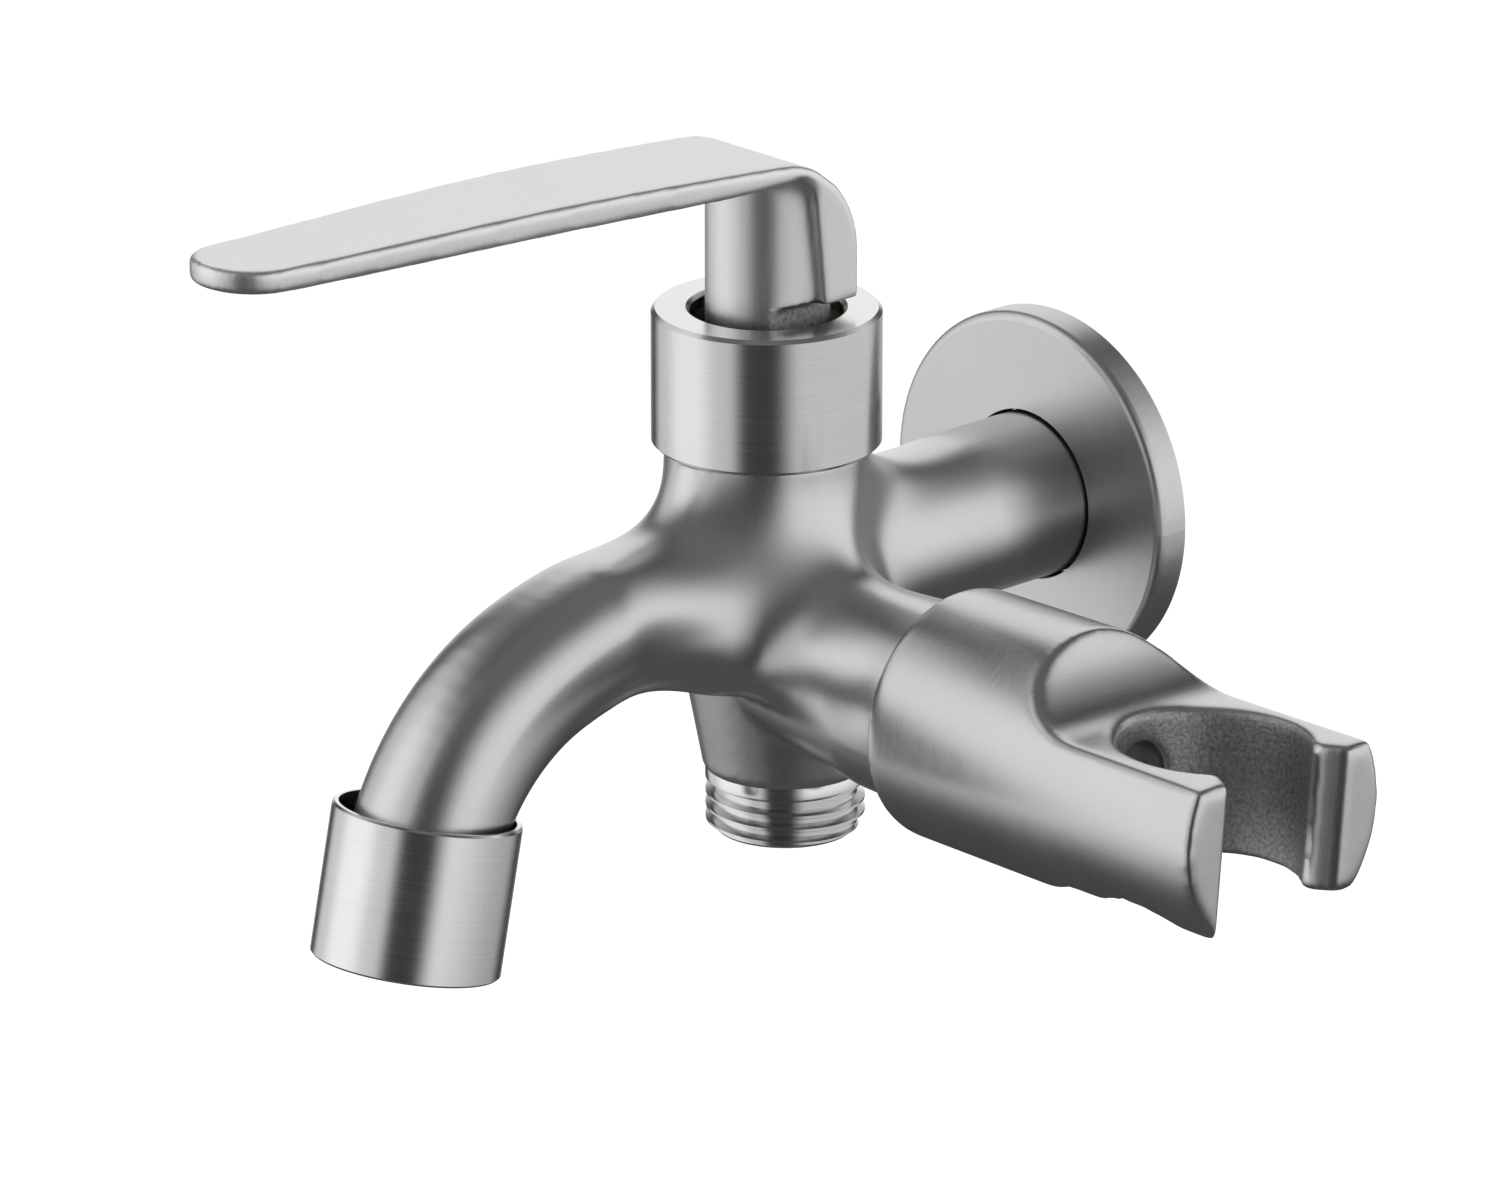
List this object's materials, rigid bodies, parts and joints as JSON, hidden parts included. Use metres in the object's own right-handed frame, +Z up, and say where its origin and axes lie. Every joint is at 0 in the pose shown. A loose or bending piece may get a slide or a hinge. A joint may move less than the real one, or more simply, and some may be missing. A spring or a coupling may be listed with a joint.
{
  "type": "two-way tap",
  "caption": "Wall-mounted two-way tap: curved spout with aerator, threaded hose outlet below, lever on top and a swivelling cradle for a hand sprayer at the side.",
  "frame": {"origin": "where the inlet pipe's axis meets the wall, in the plane of the wall flange's back rim", "axes": "+Y goes into the wall along the inlet, the spout points to -Y, the sprayer holder's arm to +X, and +Z is up"},
  "size_m": [0.1188, 0.1621, 0.1028],
  "materials": {
    "satin_steel": "satin, finely brushed stainless steel",
    "bright_steel": "bright turned stainless steel",
    "screw_steel": "plain stainless steel",
    "cartridge_brass": "plain turned brass",
    "ceramic": "ground ceramic",
    "black_rubber": "matt rubber",
    "grey_foam": "matt foam rubber",
    "white_plastic": "plain acetal plastic"
  },
  "bodies": {
    "tap": {"body": "satin_steel", "bonnet_ring": "bright_steel", "seat_seal": "black_rubber", "fixed_ceramic_disc": "ceramic", "friction_washer": "white_plastic", "cartridge_housing": "cartridge_brass", "cartridge_gasket": "black_rubber", "aerator_housing": "bright_steel", "aerator_washer": "black_rubber", "aerator_insert": "white_plastic", "aerator_screens": "screw_steel", "arm_bush": "white_plastic", "holder_washer": "screw_steel", "holder_screw": "screw_steel"},
    "lever_handle": {"lever": "satin_steel", "lever_grub_screw": "screw_steel", "spindle": "cartridge_brass", "moving_ceramic_disc": "ceramic", "spindle_o_rings": "black_rubber", "spindle_clip": "screw_steel"},
    "holder": {"sprayer_holder": "satin_steel"},
    "flange": {"wall_flange": "satin_steel", "flange_grip_ring": "black_rubber", "wall_gasket": "grey_foam"}
  },
  "joints": [
    {"name": "lever_turn", "type": "hinge", "parent": "tap", "child": "lever_handle", "pos_m": [0, -0.0525, 0.036], "axis": [0, 0, 1], "range_deg": [-90, 90]},
    {"name": "holder_turn", "type": "hinge", "parent": "tap", "child": "holder", "pos_m": [0.045, -0.0525, -0.0096], "axis": [1, 0, 0], "range_deg": [-45, 45]},
    {"name": "flange_slide", "type": "slide", "parent": "tap", "child": "flange", "axis": [0, -1, 0], "range_m": [0, 0.015]}
  ]
}
